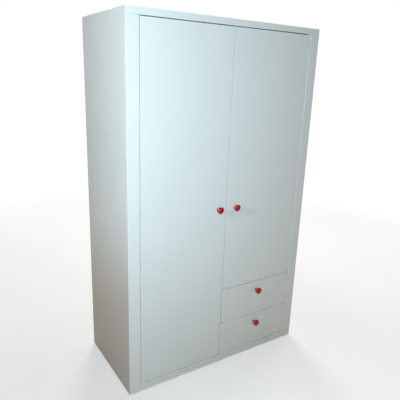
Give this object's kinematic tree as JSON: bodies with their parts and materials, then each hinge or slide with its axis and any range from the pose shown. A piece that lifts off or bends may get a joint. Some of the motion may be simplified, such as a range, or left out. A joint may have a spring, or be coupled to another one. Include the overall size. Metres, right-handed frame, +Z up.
{
  "type": "wardrobe",
  "caption": "Free-standing wardrobe with inset hinged doors, inset drawers under one door, heart-shaped knobs, a clothes rail and shelves.",
  "frame": {"origin": "middle of the footprint, knobs included, on the floor", "axes": "+Z up, +Y from the doors to the back, +X to the right of someone facing the doors"},
  "size_m": [1.2, 0.611, 2],
  "materials": {
    "white_lacquer": "satin lacquer on board",
    "white_melamine": "matt melamine",
    "hardboard": "painted hardboard",
    "bare_timber": "planed softwood",
    "red_gloss": "polished",
    "zinc_steel": "zinc plated",
    "bright_chrome": "bright",
    "white_epoxy": "epoxy coated",
    "nylon": "moulded",
    "white_plastic": "moulded",
    "clear_rubber": "soft"
  },
  "bodies": {
    "carcass": {"top_board": "white_lacquer", "left_side_panel": "white_lacquer", "left_front_stile": "white_lacquer", "right_side_panel": "white_lacquer", "right_front_stile": "white_lacquer", "bottom_rail": "white_lacquer", "bottom_board": "white_melamine", "centre_partition": "white_melamine", "left_back_panel": "hardboard", "right_back_panel": "hardboard", "hat_shelf": "white_melamine", "fixed_shelf": "white_melamine", "lower_adjustable_shelf": "white_melamine", "upper_adjustable_shelf": "white_melamine", "clothes_rail": "bright_chrome", "rail_sockets": "white_plastic", "floor_glides": "white_plastic", "magnetic_catches": "white_plastic", "stop_bumpers": "clear_rubber", "cabinet_runners": "white_epoxy", "runner_packers": "bare_timber", "left_frame_pivots": "zinc_steel", "right_frame_pivots": "zinc_steel", "cam_discs": "zinc_steel", "cam_bolts": "zinc_steel", "small_screws": "zinc_steel", "shelf_pins": "zinc_steel"},
    "left_door": {"left_door_panel": "white_lacquer", "left_door_pivot_plates": "zinc_steel", "left_door_knob": "red_gloss", "left_door_strikes": "zinc_steel", "left_door_screws": "zinc_steel"},
    "right_door": {"right_door_panel": "white_lacquer", "right_door_pivot_plates": "zinc_steel", "right_door_knob": "red_gloss", "right_door_strikes": "zinc_steel", "right_door_screws": "zinc_steel"},
    "upper_drawer": {"upper_drawer_front": "white_lacquer", "upper_drawer_box_front": "white_melamine", "upper_drawer_left_side": "white_melamine", "upper_drawer_right_side": "white_melamine", "upper_drawer_back": "white_melamine", "upper_drawer_bottom": "hardboard", "upper_drawer_runners": "white_epoxy", "upper_drawer_knob": "red_gloss", "upper_drawer_screws": "zinc_steel"},
    "lower_drawer": {"lower_drawer_front": "white_lacquer", "lower_drawer_box_front": "white_melamine", "lower_drawer_left_side": "white_melamine", "lower_drawer_right_side": "white_melamine", "lower_drawer_back": "white_melamine", "lower_drawer_bottom": "hardboard", "lower_drawer_runners": "white_epoxy", "lower_drawer_knob": "red_gloss", "lower_drawer_screws": "zinc_steel"},
    "upper_fixed_rollers": {"upper_drawer_fixed_rollers": "nylon"},
    "upper_running_rollers": {"upper_drawer_running_rollers": "nylon"},
    "lower_fixed_rollers": {"lower_drawer_fixed_rollers": "nylon"},
    "lower_running_rollers": {"lower_drawer_running_rollers": "nylon"}
  },
  "joints": [
    {"name": "left_door_hinge", "type": "hinge", "parent": "carcass", "child": "left_door", "pos_m": [-0.526, -0.262, 1], "axis": [0, 0, -1], "range_deg": [0, 100]},
    {"name": "right_door_hinge", "type": "hinge", "parent": "carcass", "child": "right_door", "pos_m": [0.526, -0.262, 1.2], "axis": [0, 0, 1], "range_deg": [0, 100]},
    {"name": "upper_drawer_slide", "type": "slide", "parent": "carcass", "child": "upper_drawer", "axis": [0, -1, 0], "range_m": [0, 0.38]},
    {"name": "lower_drawer_slide", "type": "slide", "parent": "carcass", "child": "lower_drawer", "axis": [0, -1, 0], "range_m": [0, 0.38]},
    {"name": "upper_fixed_roller_spin", "type": "hinge", "parent": "carcass", "child": "upper_fixed_rollers", "pos_m": [0.27175, -0.2325, 0.29825], "axis": [1, 0, 0], "range_deg": [0, 2200]},
    {"name": "upper_running_roller_spin", "type": "hinge", "parent": "upper_drawer", "child": "upper_running_rollers", "pos_m": [0.27175, 0.2375, 0.29825], "axis": [1, 0, 0], "range_deg": [0, 2200]},
    {"name": "lower_fixed_roller_spin", "type": "hinge", "parent": "carcass", "child": "lower_fixed_rollers", "pos_m": [0.27175, -0.2325, 0.0795], "axis": [1, 0, 0], "range_deg": [0, 2200]},
    {"name": "lower_running_roller_spin", "type": "hinge", "parent": "lower_drawer", "child": "lower_running_rollers", "pos_m": [0.27175, 0.2375, 0.0795], "axis": [1, 0, 0], "range_deg": [0, 2200]}
  ],
  "couplings": [
    {"joint": "upper_fixed_roller_spin", "follows": "upper_drawer_slide", "rad_per_m": 100},
    {"joint": "upper_running_roller_spin", "follows": "upper_drawer_slide", "rad_per_m": 100},
    {"joint": "lower_fixed_roller_spin", "follows": "lower_drawer_slide", "rad_per_m": 100},
    {"joint": "lower_running_roller_spin", "follows": "lower_drawer_slide", "rad_per_m": 100}
  ]
}
